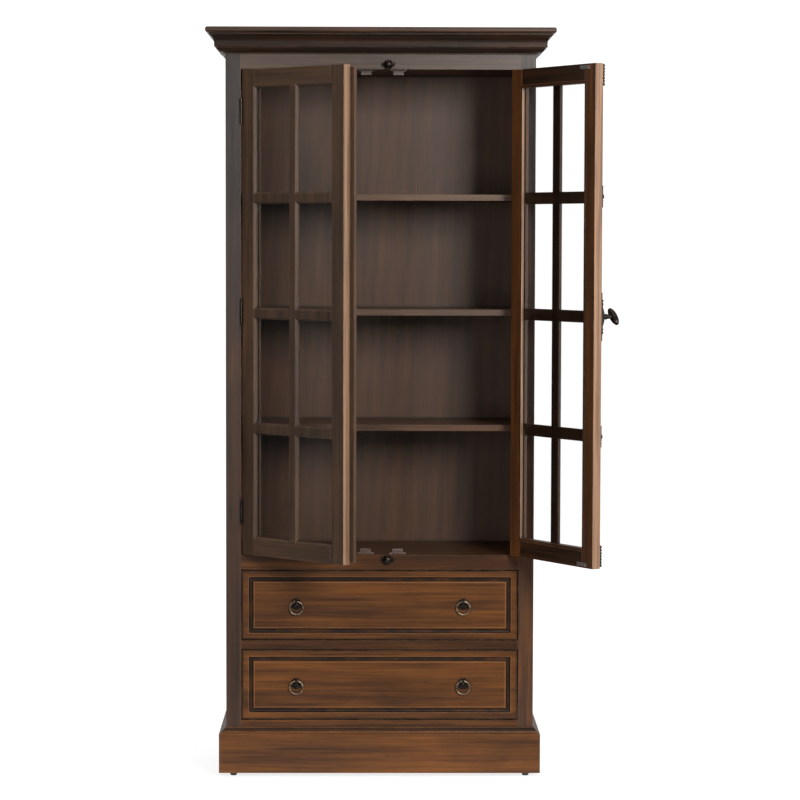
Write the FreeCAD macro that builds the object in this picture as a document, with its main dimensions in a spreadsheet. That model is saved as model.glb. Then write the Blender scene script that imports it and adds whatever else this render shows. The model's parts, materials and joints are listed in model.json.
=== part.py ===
import FreeCAD, Part
import math
import os
import re
import Sketcher

# A china cabinet: a glazed display case with two hinged doors over two drawers.
# +X is to the right, +Y is into the cabinet, +Z is up, and the unit is the millimetre.
# The origin lies on the floor, under the middle of the carcass.

DIMENSIONS = {
    # carcass
    "body_width": 824,
    "body_depth": 350,
    "panel_thick": 18,
    "back_thick": 10,
    "glide_height": 10.5,
    "glide_radius": 10,
    "glide_foot_radius": 8,
    "glide_inset": 19,
    "glide_back_inset": 14,
    # slab and cornice at the top
    "cabinet_top": 2000,
    "slab_thick": 15,
    "slab_overhang": 51,
    "slab_round": 6,
    "cornice_base": 1931.5,
    "cornice_fillet": 5,
    "cornice_fillet_tall": 4,
    "ovolo_reach": 23,
    "ovolo_tall": 13.7,
    "ovolo_radius": 15,
    "step_reach": 28.5,
    "step_tall": 10,
    "cove_reach": 42,
    "cove_tall": 21.3,
    "cove_radius": 24,
    # plinth
    "plinth_reach": 19,
    "plinth_face_top": 115.5,
    "plinth_round": 6.5,
    "plinth_ledge": 11,
    "plinth_cove_reach": 3,
    "plinth_cove_radius": 14,
    "plinth_cove_top": 130,
    "plinth_top": 133,
    # face frame
    "frame_thick": 20,
    "stile_width": 40.5,
    "door_head": 1891.5,
    "door_sill": 597,
    "mid_rail_height": 39.8,
    "drawer_opening": 191,
    "drawer_rail_height": 24,
    "bottom_rail_height": 56,
    # shelves
    "shelf_thick": 16,
    "shelf_setback": 40,
    "shelf_side_gap": 0.5,
    "upper_shelf_top": 1561,
    "middle_shelf_top": 1253.6,
    "lower_shelf_top": 943.6,
    "pin_radius": 2.5,
    "pin_length": 16,
    "pin_end_gap": 45,
    # doors
    "door_gap": 2,
    "door_thick": 24,
    "door_stile_width": 46,
    "door_top_rail": 49.5,
    "door_bottom_rail": 50,
    "muntin_width": 31,
    "muntin_depth": 12,
    "bevel": 5,
    "rebate": 8,
    "glass_thick": 4,
    "glass_gap": 0.5,
    "left_door_open": 42.56,
    "right_door_open": 121.92,
    "astragal_width": 30,
    "astragal_thick": 9,
    "astragal_reach": 15,
    "astragal_relief": 0.6,
    "astragal_end_gap": 6,
    # hinges
    "hinge_standoff": 3.5,
    "hinge_height": 66,
    "knuckle_radius": 3.2,
    "knuckle_gap": 0.4,
    "leaf_thick": 0.8,
    "leaf_depth": 20,
    "leaf_setback": 0.2,
    "hinge_pin_radius": 1.6,
    "pin_head_radius": 2.8,
    "pin_head_thick": 2,
    "running_gap": 0.1,
    "top_hinge_level": 1780,
    "middle_hinge_level": 1248,
    "bottom_hinge_level": 714,
    # magnetic catches
    "strike_width": 40,
    "strike_height": 10,
    "strike_thick": 1.2,
    "strike_inset": 9,
    "catch_gap": 0.6,
    "catch_width": 27,
    "catch_height": 13,
    "catch_depth": 22,
    "catch_flange_width": 43,
    "catch_flange_thick": 3,
    "left_catch_offset": 39,
    "right_catch_offset": 47,
    # bolt on the right door
    "bolt_level": 1245,
    "rod_inset": 19,
    "rod_radius": 4.5,
    "rod_standoff": 9,
    "rack_plane": 2.9,
    "rod_end_gap": 1.5,
    "rod_clearance": 0.4,
    "rod_start": 14,
    "case_half_width": 16.5,
    "case_half_height": 39,
    "case_depth": 6.8,
    "case_wall": 1.6,
    "case_front_wall": 1.5,
    "case_corner": 6,
    "dome_half_width": 15,
    "dome_half_height": 38,
    "dome_rise": 22,
    "sleeve_start": 28,
    "sleeve_length": 34,
    "boss_base_radius": 8.5,
    "boss_tip_radius": 6.5,
    "boss_height": 4,
    "spindle_radius": 4,
    "spindle_bore_gap": 0.3,
    "knob_centre": 52,
    "knob_half_long": 27.5,
    "knob_half_wide": 11,
    "knob_half_deep": 10.5,
    "knob_tilt": 42,
    "stem_base_radius": 6.5,
    "stem_tip_radius": 4.3,
    "knob_gap": 0.5,
    "pinion_teeth": 10,
    "pinion_root": 8,
    "pinion_tip": 11.2,
    "pinion_thick": 4,
    "tooth_base": 3,
    "tooth_tip": 1.6,
    "pinion_tooth_seat": 1,
    "rack_tooth_seat": 0.5,
    "rack_tip": 8.9,
    "rack_root": 11.5,
    "rack_back": 14.5,
    "rack_step": 6.2832,
    "rack_reach": 24,
    "jog_tall": 4,
    "riser_half": 2.5,
    "guide_length": 56,
    "guide_waist": 6,
    "bead_rise": 1,
    "bulb_rise": 3.4,
    "guide_plate_width": 22,
    "guide_plate_height": 40,
    "guide_plate_thick": 1.6,
    "top_guide_level": 1861,
    "upper_guide_level": 1552,
    "lower_guide_level": 937.5,
    "bottom_guide_level": 629,
    "keeper_width": 37,
    "keeper_height": 25,
    "keeper_rim": 4.5,
    "keeper_ear_height": 12,
    "keeper_plate_thick": 2.2,
    "keeper_slot_half": 5,
    "top_keeper_level": 1904,
    "bottom_keeper_level": 584.5,
    # drawers
    "drawer_gap": 3,
    "drawer_front_thick": 20,
    "drawer_rim": 17,
    "drawer_half_width": 357,
    "drawer_side_thick": 12,
    "drawer_side_height": 140,
    "drawer_side_lift": 12,
    "drawer_bottom_thick": 6,
    "drawer_bottom_lift": 10,
    "drawer_back_gap": 14,
    "runner_gap": 0.4,
    "runner_ledge": 14,
    "runner_height": 45,
    "runner_end_gap": 2,
    # ring pulls
    "pull_offset": 224,
    "pull_raise": 2,
    "rosette_radius": 15,
    "rosette_rim_radius": 12.5,
    "rosette_thick": 2.5,
    "rosette_dome_radius": 5,
    "pivot_raise": 8.5,
    "pivot_standoff": 6.5,
    "ring_radius": 17.65,
    "ring_wire_radius": 2.1,
    "eye_hole_radius": 2.8,
    "eye_radius": 4.8,
    "eye_width": 6,
    "post_half_height": 3.84,
}

# The drawer fronts' moulding, from the rim inwards, as (inset from the rim, depth below the face) in turn.
# The groove falls away from the rim, and beyond it the raised panel climbs back to its own flat field.
GROOVE_STEPS = ((0, 0), (0.6, 1.4), (1.6, 3.6), (3.0, 5.0), (5.0, 5.6))
PANEL_STEPS = ((8.5, 6.0), (10.4, 4.0), (12.2, 2.4), (13.2, 1.4), (14.6, 1.2))
FIELD_DEPTH = PANEL_STEPS[-1][1]

doc = FreeCAD.newDocument("china_cabinet")
sheet = doc.addObject("Spreadsheet::Sheet", "Dims")
for row, (alias, value) in enumerate(DIMENSIONS.items(), start=1):
    sheet.set(f"A{row}", alias)
    sheet.set(f"B{row}", str(value))
    sheet.setAlias(f"B{row}", alias)
doc.recompute()

pieces = []

# Places that many sub-parts share, as expressions of the driving dimensions.
FRONT = "(-body_depth / 2)"
BACK = "(body_depth / 2)"
HALF_BODY = "(body_width / 2)"
HALF_OPENING = "(body_width / 2 - stile_width)"
INSIDE = "(body_width / 2 - panel_thick)"
CARCASS_FRONT = f"({FRONT} + frame_thick)"
BACK_PANEL_FRONT = f"({BACK} - back_thick)"
SLAB_BASE = "(cabinet_top - slab_thick)"
UPPER_DRAWER_BASE = "(door_sill - mid_rail_height - drawer_opening)"
DRAWER_RAIL_BASE = f"({UPPER_DRAWER_BASE} - drawer_rail_height)"
LOWER_DRAWER_BASE = f"({DRAWER_RAIL_BASE} - drawer_opening)"

# Door places, measured from the hinge axis at floor level.
HINGE_OFFSET = f"({HALF_OPENING} - door_gap / 2)"
DOOR_WIDTH = f"({HALF_OPENING} - 1.5 * door_gap)"
DOOR_NEAR = "(door_gap / 2)"
DOOR_FAR = f"({DOOR_NEAR} + {DOOR_WIDTH})"
DOOR_BASE = "(door_sill + door_gap)"
DOOR_TOP = "(door_head - door_gap)"
DOOR_FACE = "hinge_standoff"
GLASS_FACE = "(hinge_standoff + muntin_depth)"
DOOR_BACK = "(hinge_standoff + door_thick)"
PANE_COLUMNS = 2
PANE_ROWS = 4
CROSS_BARS = PANE_ROWS - 1
INNER_WIDE = f"({DOOR_WIDTH} - 2 * door_stile_width)"
INNER_TALL = f"({DOOR_TOP} - {DOOR_BASE} - door_top_rail - door_bottom_rail)"
PANE_WIDE = f"(({INNER_WIDE} - muntin_width) / {PANE_COLUMNS})"
PANE_TALL = f"(({INNER_TALL} - {CROSS_BARS} * muntin_width) / {PANE_ROWS})"
ROD_ACROSS = f"({DOOR_FAR} - rod_inset)"
HINGE_LEVELS = ("top_hinge_level", "middle_hinge_level", "bottom_hinge_level")
KNUCKLES = 5


def bound(expression):
    """The expression with each dimension's name pointed at its cell."""
    return re.sub(r"[a-z][a-z_]*", lambda found: "Dims." + found.group(), str(expression))


def value_of(expression):
    return float(sheet.evalExpression(bound(expression)))


def bind(feature, **sizes):
    for name, expression in sizes.items():
        feature.setExpression(name.replace("__", "."), bound(expression))
    return feature


def place(feature, x=0, y=0, z=0, axis=None, angle=0):
    """Put a feature at x, y, z, turned about an axis through that point."""
    if axis:
        rotation = FreeCAD.Rotation(FreeCAD.Vector(*axis), value_of(angle))
        feature.Placement = FreeCAD.Placement(FreeCAD.Vector(), rotation)
        bind(feature, Placement__Rotation__Angle=angle)
    return bind(feature, Placement__Base__x=x, Placement__Base__y=y, Placement__Base__z=z)


def block(name, x, y, z, wide, deep, tall):
    """A cuboid from its lowest corner."""
    feature = doc.addObject("Part::Box", name)
    bind(feature, Length=wide, Width=deep, Height=tall)
    return place(feature, x, y, z)


def rod(name, x, y, z, radius, length, axis=None, angle=0):
    """A cylinder that starts at x, y, z and runs along Z before it is turned."""
    feature = doc.addObject("Part::Cylinder", name)
    bind(feature, Radius=radius, Height=length)
    return place(feature, x, y, z, axis, angle)


def cone(name, x, y, z, base, tip, length, axis=None, angle=0):
    feature = doc.addObject("Part::Cone", name)
    bind(feature, Radius1=base, Radius2=tip, Height=length)
    return place(feature, x, y, z, axis, angle)


def frustum(name, near, far):
    """A block whose section changes evenly along Y.

    near and far are each (y, x from, x to, z from, z to).
    """
    feature = doc.addObject("Part::Wedge", name)
    sizes = {"Ymin": near[0], "Xmin": near[1], "Xmax": near[2], "Zmin": near[3], "Zmax": near[4]}
    sizes.update({"Ymax": far[0], "X2min": far[1], "X2max": far[2], "Z2min": far[3], "Z2max": far[4]})
    for size, expression in sizes.items():
        setattr(feature, size, value_of(expression))
    return bind(feature, **sizes)


def fused(name, *features):
    feature = doc.addObject("Part::MultiFuse", name)
    feature.Shapes = list(features)
    return feature


def cut(name, base, *tools):
    feature = doc.addObject("Part::Cut", name)
    feature.Base = base
    feature.Tool = tools[0] if len(tools) == 1 else group(name + "_tools", *tools)
    return feature


def group(name, *features):
    feature = doc.addObject("Part::Compound", name)
    feature.Links = list(features)
    return feature


def piece(name, *features):
    """Name a sub-part: one feature, or several alike that share the node."""
    feature = features[0] if len(features) == 1 else group(name, *features)
    feature.Label = name
    pieces.append(feature)
    return feature


def bulge_point(start, end, radius, side):
    """The middle of an arc from start to end; side 1 bulges to the left of the way, -1 to the right."""
    run = (end[0] - start[0], end[1] - start[1])
    chord = math.hypot(*run)
    sagitta = radius - math.sqrt(radius**2 - chord**2 / 4)
    left = (-run[1] / chord, run[0] / chord)
    middle = ((start[0] + end[0]) / 2, (start[1] + end[1]) / 2)
    return FreeCAD.Vector(middle[0] + side * sagitta * left[0], middle[1] + side * sagitta * left[1], 0)


def outline(body, plane, corners):
    """A closed sketch on one of the body's origin planes.

    Each corner is (across, up), or (across, up, radius, side) where an arc leads to it.
    """
    sketch = body.newObject("Sketcher::SketchObject", body.Name + "_outline")
    support = [part for part in body.Origin.OriginFeatures if part.Role == plane]
    sketch.AttachmentSupport = [(support[0], "")]
    sketch.MapMode = "FlatFace"
    points = [(value_of(corner[0]), value_of(corner[1])) for corner in corners]
    for index, corner in enumerate(corners):
        start, end = points[index - 1], points[index]
        ends = [FreeCAD.Vector(*start, 0), FreeCAD.Vector(*end, 0)]
        if len(corner) == 2:
            sketch.addGeometry(Part.LineSegment(*ends))
            last = 2
        else:
            middle = bulge_point(start, end, value_of(corner[2]), corner[3])
            sketch.addGeometry(Part.Arc(ends[0], middle, ends[1]))
            # an arc is stored anticlockwise, so one that bulges left of its way ends at its own start
            last = 1 if corner[3] > 0 else 2
            held = sketch.addConstraint(Sketcher.Constraint("Radius", index, value_of(corner[2])))
            sketch.setExpression(f"Constraints[{held}]", bound(corner[2]))
        for kind, expression, size in (("DistanceX", corner[0], end[0]), ("DistanceY", corner[1], end[1])):
            held = sketch.addConstraint(Sketcher.Constraint(kind, -1, 1, index, last, size))
            sketch.setExpression(f"Constraints[{held}]", bound(expression))
    for index, corner in enumerate(corners):
        before = corners[index - 1]
        ends_at = 1 if len(before) > 2 and before[3] > 0 else 2
        starts_at = 2 if len(corner) > 2 and corner[3] > 0 else 1
        joined = (index - 1) % len(corners)
        sketch.addConstraint(Sketcher.Constraint("Coincident", joined, ends_at, index, starts_at))
    return sketch


def extrusion(name, plane, corners, length, midplane=False):
    body = doc.addObject("PartDesign::Body", name)
    sketch = outline(body, plane, corners)
    pad = body.newObject("PartDesign::Pad", name + "_pad")
    pad.Profile = sketch
    pad.Midplane = midplane
    bind(pad, Length=length)
    return body


def revolution(name, corners):
    """A body turned about Z from an outline in the XZ plane."""
    body = doc.addObject("PartDesign::Body", name)
    sketch = outline(body, "XZ_Plane", corners)
    turned = body.newObject("PartDesign::Revolution", name + "_turned")
    turned.Profile = sketch
    turned.ReferenceAxis = (sketch, ["V_Axis"])
    turned.Angle = 360
    return body


# ---------------------------------------------------------------- mouldings


def cornice_profile(sign):
    """Reach out from the carcass and height: fillet, ovolo, step, cove and top fillet."""
    ovolo_base = "(cornice_base + cornice_fillet_tall)"
    step_base = f"({ovolo_base} + ovolo_tall)"
    cove_base = f"({step_base} + step_tall)"
    cove_top = f"({cove_base} + cove_tall)"
    return [
        (0, SLAB_BASE),
        (0, "cornice_base"),
        (f"{sign} * cornice_fillet", "cornice_base"),
        (f"{sign} * cornice_fillet", ovolo_base),
        (f"{sign} * ovolo_reach", step_base, "ovolo_radius", sign * -1),
        (f"{sign} * step_reach", step_base),
        (f"{sign} * step_reach", cove_base),
        (f"{sign} * cove_reach", cove_top, "cove_radius", sign * 1),
        (f"{sign} * cove_reach", SLAB_BASE),
    ]


def plinth_profile(sign):
    """Flat face, rounded shoulder, ledge and cove up to the carcass."""
    shoulder_top = "(plinth_face_top + plinth_round)"
    return [
        (0, "plinth_top"),
        (0, "glide_height"),
        (f"{sign} * plinth_reach", "glide_height"),
        (f"{sign} * plinth_reach", "plinth_face_top"),
        (f"{sign} * (plinth_reach - plinth_round)", shoulder_top, "plinth_round", sign * 1),
        (f"{sign} * plinth_ledge", shoulder_top),
        (f"{sign} * plinth_cove_reach", "plinth_cove_top", "plinth_cove_radius", sign * -1),
        (f"{sign} * plinth_cove_reach", "plinth_top"),
    ]


def moulding(name, profile, reach, base, tall):
    """A front length and two returns, mitred where they meet at the front corners."""
    span = f"(body_width + 2 * {reach})"
    front = extrusion(name + "_front_length", "YZ_Plane", profile(-1), span, midplane=True)
    place(front, y=FRONT)
    mitres = []
    returns = []
    for side, sign in (("left", -1), ("right", 1)):
        corner = f"{sign} * {HALF_BODY}"
        mitre = extrusion(
            f"{name}_{side}_mitre",
            "XY_Plane",
            [(0, 0), (f"{sign} * 2 * {reach}", f"-2 * {reach}"), (f"{sign} * 2 * {reach}", 0)],
            tall,
        )
        mitres.append(place(mitre, corner, FRONT, base))
        run = f"(body_depth + {reach})"
        length = extrusion(f"{name}_{side}_length", "XZ_Plane", profile(sign), run)
        place(length, corner, BACK)
        keep_off = extrusion(
            f"{name}_{side}_return_mitre",
            "XY_Plane",
            [(0, 0), (f"{sign} * 2 * {reach}", f"-2 * {reach}"), (0, f"-2 * {reach}")],
            tall,
        )
        place(keep_off, corner, FRONT, base)
        returns.append(cut(f"{name}_{side}_return", length, keep_off))
    piece(name + "_front", cut(name + "_front", front, *mitres))
    piece(name + "_returns", *returns)


# ------------------------------------------------------------------ carcass


def shelf_pin_places():
    """Each pin's centre, as (y, z) on either side panel, under the three shelves."""
    near = f"({FRONT} + shelf_setback + pin_end_gap)"
    far = f"({BACK_PANEL_FRONT} - pin_end_gap)"
    tops = ("upper_shelf_top", "middle_shelf_top", "lower_shelf_top")
    return [(y, f"({top} - shelf_thick - pin_radius)") for top in tops for y in (near, far)]


def side_panels():
    pins = []
    for side, sign in (("left", -1), ("right", 1)):
        low = f"-{HALF_BODY}" if sign < 0 else INSIDE
        board = block(
            f"{side}_side_board",
            low,
            CARCASS_FRONT,
            "glide_height",
            "panel_thick",
            "body_depth - frame_thick",
            f"{SLAB_BASE} - glide_height",
        )
        start = f"{sign} * {INSIDE} - pin_length / 2"
        holes = []
        for number, (y, z) in enumerate(shelf_pin_places(), start=1):
            name = f"{side}_pin_{number}"
            pins.append(rod(name, start, y, z, "pin_radius", "pin_length", (0, 1, 0), 90))
            holes.append(rod(name + "_hole", start, y, z, "pin_radius", "pin_length", (0, 1, 0), 90))
        piece(side + "_side_panel", cut(side + "_side_panel", board, *holes))
    piece("shelf_pins", *pins)


def boards():
    deep = f"({BACK_PANEL_FRONT} - {CARCASS_FRONT})"
    levels = {
        "ceiling_board": "door_head",
        "deck_board": "door_sill - panel_thick",
        "bottom_board": f"{LOWER_DRAWER_BASE} - panel_thick",
    }
    for name, base in levels.items():
        board = block(name, f"-{INSIDE}", CARCASS_FRONT, base, f"2 * {INSIDE}", deep, "panel_thick")
        piece(name, board)
    tall = f"{SLAB_BASE} - glide_height"
    back = block(
        "back_panel", f"-{INSIDE}", BACK_PANEL_FRONT, "glide_height", f"2 * {INSIDE}", "back_thick", tall
    )
    piece("back_panel", back)
    for name in ("upper_shelf", "middle_shelf", "lower_shelf"):
        shelf = block(
            name,
            f"shelf_side_gap - {INSIDE}",
            f"{FRONT} + shelf_setback",
            f"{name}_top - shelf_thick",
            f"2 * ({INSIDE} - shelf_side_gap)",
            f"{BACK_PANEL_FRONT} - {FRONT} - shelf_setback",
            "shelf_thick",
        )
        piece(name, shelf)


def top_slab():
    """The flat top, with its front and side edges rounded over and its back edge square."""
    wide = "(body_width + 2 * slab_overhang)"
    deep = "(body_depth + slab_overhang)"
    board = block(
        "top_slab_board",
        f"-{wide} / 2",
        f"{FRONT} - slab_overhang",
        SLAB_BASE,
        wide,
        deep,
        "slab_thick",
    )
    doc.recompute()
    back = value_of(BACK)
    rounded = doc.addObject("Part::Fillet", "top_slab")
    rounded.Base = board
    radius = value_of("slab_round")
    edges = []
    for number, edge in enumerate(board.Shape.Edges, start=1):
        level = abs(edge.Vertexes[0].Z - edge.Vertexes[1].Z) < 1
        if level and edge.CenterOfMass.y < back - 1:
            edges.append((number, radius, radius))
    rounded.Edges = edges
    piece("top_slab", rounded)


def face_frame():
    tall = f"{SLAB_BASE} - glide_height"
    for side, low in (("left", f"-{HALF_BODY}"), ("right", HALF_OPENING)):
        name = side + "_face_stile"
        piece(name, block(name, low, FRONT, "glide_height", "stile_width", "frame_thick", tall))
    rails = {
        "top_rail": ("door_head", f"{SLAB_BASE} - door_head"),
        "mid_rail": ("door_sill - mid_rail_height", "mid_rail_height"),
        "drawer_rail": (DRAWER_RAIL_BASE, "drawer_rail_height"),
        "bottom_rail": (f"{LOWER_DRAWER_BASE} - bottom_rail_height", "bottom_rail_height"),
    }
    made = {}
    for name, (base, height) in rails.items():
        made[name] = block(
            name, f"-{HALF_OPENING}", FRONT, base, f"2 * {HALF_OPENING}", "frame_thick", height
        )
    piece("top_rail", made["top_rail"])
    piece("mid_rail", made["mid_rail"])
    piece("drawer_rails", made["drawer_rail"], made["bottom_rail"])


def glides():
    """Four nail-on glides, flat underneath, with a tapered lower edge."""
    half_tall = "(glide_height / 2)"
    feet = []
    for side, sign in (("left", -1), ("right", 1)):
        for end, y in (("front", f"{FRONT} + glide_radius"), ("back", f"{BACK} - glide_back_inset")):
            name = f"{side}_{end}_glide"
            x = f"{sign} * ({HALF_BODY} - glide_inset)"
            foot = cone(name + "_foot", x, y, 0, "glide_foot_radius", "glide_radius", half_tall)
            head = rod(name + "_head", x, y, half_tall, "glide_radius", half_tall)
            feet.append(fused(name, foot, head))
    piece("foot_glides", *feet)


def catches():
    """Two magnetic catches under the ceiling and two on the deck, one of each pair for each door."""
    y = f"({FRONT} + door_thick + strike_thick + catch_gap)"
    housings = []
    for side, sign in (("left", -1), ("right", 1)):
        middle = f"({sign} * {side}_catch_offset)"
        for end in ("top", "bottom"):
            name = f"{side}_{end}_catch"
            body_base = "door_head - catch_height" if end == "top" else "door_sill"
            flange_base = "door_head - catch_flange_thick" if end == "top" else "door_sill"
            body = block(
                name + "_body",
                f"{middle} - catch_width / 2",
                y,
                body_base,
                "catch_width",
                "catch_depth",
                "catch_height",
            )
            flange = block(
                name + "_flange",
                f"{middle} - catch_flange_width / 2",
                y,
                flange_base,
                "catch_flange_width",
                "catch_depth",
                "catch_flange_thick",
            )
            housings.append(fused(name, body, flange))
    piece("magnetic_catches", *housings)


def keepers():
    """Domed loops on the top and middle rails that the bolt's rods shoot into."""
    x = f"({HINGE_OFFSET} - {ROD_ACROSS})"
    turned = ((1, 0, 0), 90)
    between_ears = "(keeper_width - keeper_ear_height)"
    loops = []
    for end in ("top", "bottom"):
        name = end + "_keeper"
        level = f"{name}_level"
        plate = block(
            name + "_plate",
            f"{x} - {between_ears} / 2",
            f"{FRONT} - keeper_plate_thick",
            f"{level} - keeper_ear_height / 2",
            between_ears,
            "keeper_plate_thick",
            "keeper_ear_height",
        )
        ears = [
            rod(
                f"{name}_{side}_ear",
                f"{x} + {sign} * {between_ears} / 2",
                FRONT,
                level,
                "keeper_ear_height / 2",
                "keeper_plate_thick",
                *turned,
            )
            for side, sign in (("left", -1), ("right", 1))
        ]
        round_face = [
            (0, 0),
            ("keeper_height / 2", 0),
            ("keeper_height / 2", "keeper_rim"),
            (0, "keeper_rim + keeper_height / 2", "keeper_height / 2", -1),
        ]
        dome = place(revolution(name + "_dome", round_face), x, FRONT, level, *turned)
        slot = block(
            name + "_slot",
            f"{x} - keeper_slot_half",
            f"{FRONT} - rod_standoff - keeper_slot_half",
            f"{level} - keeper_height",
            "2 * keeper_slot_half",
            "2 * keeper_slot_half",
            "2 * keeper_height",
        )
        loops.append(cut(name, fused(name + "_solid", plate, *ears, dome), slot))
    piece("bolt_keepers", *loops)


# -------------------------------------------------------------------- doors


def across(sign, start, width):
    """Where a span starts in X, for a door that runs from its hinge axis along sign times X."""
    return f"({start})" if sign > 0 else f"(-({start}) - ({width}))"


def door_block(name, sign, start, y, z, wide, deep, tall):
    return block(name, across(sign, start, wide), y, z, wide, deep, tall)


def door_piece(side, name, *features):
    """A sub-part of a door, carried from the closed place at the hinge axis to where the door stands."""
    sign = -1 if side == "left" else 1
    swung = group(name, *features)
    axis = (0, 0, sign)
    place(swung, f"{sign} * {HINGE_OFFSET}", f"{FRONT} - hinge_standoff", 0, axis, f"{side}_door_open")
    swung.Label = name
    pieces.append(swung)


def pane_left(column):
    return f"({DOOR_NEAR} + door_stile_width + {column} * ({PANE_WIDE} + muntin_width))"


def pane_base(row):
    return f"({DOOR_BASE} + door_bottom_rail + {row} * ({PANE_TALL} + muntin_width))"


def bevel_cutters(side, sign, name):
    """One shallow frustum for each pane: it bevels the front edges round the opening."""
    cutters = []
    for column in range(PANE_COLUMNS):
        for row in range(PANE_ROWS):
            low = across(sign, pane_left(column), PANE_WIDE)
            high = f"({low} + {PANE_WIDE})"
            base = pane_base(row)
            top = f"({base} + {PANE_TALL})"
            near = (DOOR_FACE, f"{low} - bevel", f"{high} + bevel", f"{base} - bevel", f"{top} + bevel")
            far = (f"{DOOR_FACE} + bevel", low, high, base, top)
            cutters.append(frustum(f"{side}_{name}_bevel_{column}{row}", near, far))
    return cutters


def door_frame(side, sign):
    """Stiles, rails and the muntin lattice, rebated at the back for one sheet of glass."""
    tall = f"({DOOR_TOP} - {DOOR_BASE})"
    inner_left = pane_left(0)

    def joined(name, *boards):
        """Cut the rebate and the bevels out of each board."""
        shaped = []
        for number, board in enumerate(boards):
            label = f"{name}_{number}"
            rebate = door_block(
                f"{side}_{label}_rebate",
                sign,
                f"{inner_left} - rebate",
                GLASS_FACE,
                f"{pane_base(0)} - rebate",
                f"{INNER_WIDE} + 2 * rebate",
                "door_thick - muntin_depth",
                f"{INNER_TALL} + 2 * rebate",
            )
            shaped.append(
                cut(f"{side}_{label}", board, rebate, *bevel_cutters(side, sign, label))
            )
        door_piece(side, f"{side}_door_{name}", *shaped)

    for name, start in (
        ("hinge_stile", DOOR_NEAR),
        ("meeting_stile", f"{DOOR_FAR} - door_stile_width"),
    ):
        stile = door_block(
            f"{side}_{name}_board", sign, start, DOOR_FACE, DOOR_BASE, "door_stile_width", "door_thick", tall
        )
        joined(name, stile)
    rails = []
    for name, base, height in (
        ("bottom", DOOR_BASE, "door_bottom_rail"),
        ("top", f"{DOOR_TOP} - door_top_rail", "door_top_rail"),
    ):
        rails.append(
            door_block(
                f"{side}_{name}_rail_board",
                sign,
                inner_left,
                DOOR_FACE,
                base,
                INNER_WIDE,
                "door_thick",
                height,
            )
        )
    joined("rails", *rails)
    bars = [
        door_block(
            f"{side}_upright_bar",
            sign,
            f"{inner_left} + {PANE_WIDE}",
            DOOR_FACE,
            pane_base(0),
            "muntin_width",
            "muntin_depth",
            INNER_TALL,
        )
    ]
    for column in range(PANE_COLUMNS):
        for row in range(1, PANE_ROWS):
            bars.append(
                door_block(
                    f"{side}_cross_bar_{column}{row}",
                    sign,
                    pane_left(column),
                    DOOR_FACE,
                    f"{pane_base(row)} - muntin_width",
                    PANE_WIDE,
                    "muntin_depth",
                    "muntin_width",
                )
            )
    joined("muntins", *bars)


def door_glazing(side, sign):
    """The sheet of glass, and the four beads that hold it in the rebate."""
    low = f"({pane_left(0)} - rebate)"
    wide = f"({INNER_WIDE} + 2 * rebate)"
    base = f"({pane_base(0)} - rebate)"
    tall = f"({INNER_TALL} + 2 * rebate)"
    glass = door_block(
        f"{side}_glass",
        sign,
        f"{low} + glass_gap",
        GLASS_FACE,
        f"{base} + glass_gap",
        f"{wide} - 2 * glass_gap",
        "glass_thick",
        f"{tall} - 2 * glass_gap",
    )
    door_piece(side, f"{side}_door_glass", glass)
    bead_y = f"({GLASS_FACE} + glass_thick)"
    bead_deep = "(door_thick - muntin_depth - glass_thick)"
    beads = []
    for number, start in enumerate((low, f"{low} + {wide} - rebate")):
        name = f"{side}_upright_bead_{number}"
        beads.append(door_block(name, sign, start, bead_y, base, "rebate", bead_deep, tall))
    for number, level in enumerate((base, f"{base} + {tall} - rebate")):
        name = f"{side}_cross_bead_{number}"
        inner = f"{wide} - 2 * rebate"
        beads.append(
            door_block(name, sign, f"{low} + rebate", bead_y, level, inner, bead_deep, "rebate")
        )
    door_piece(side, f"{side}_door_beads", *beads)


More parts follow.
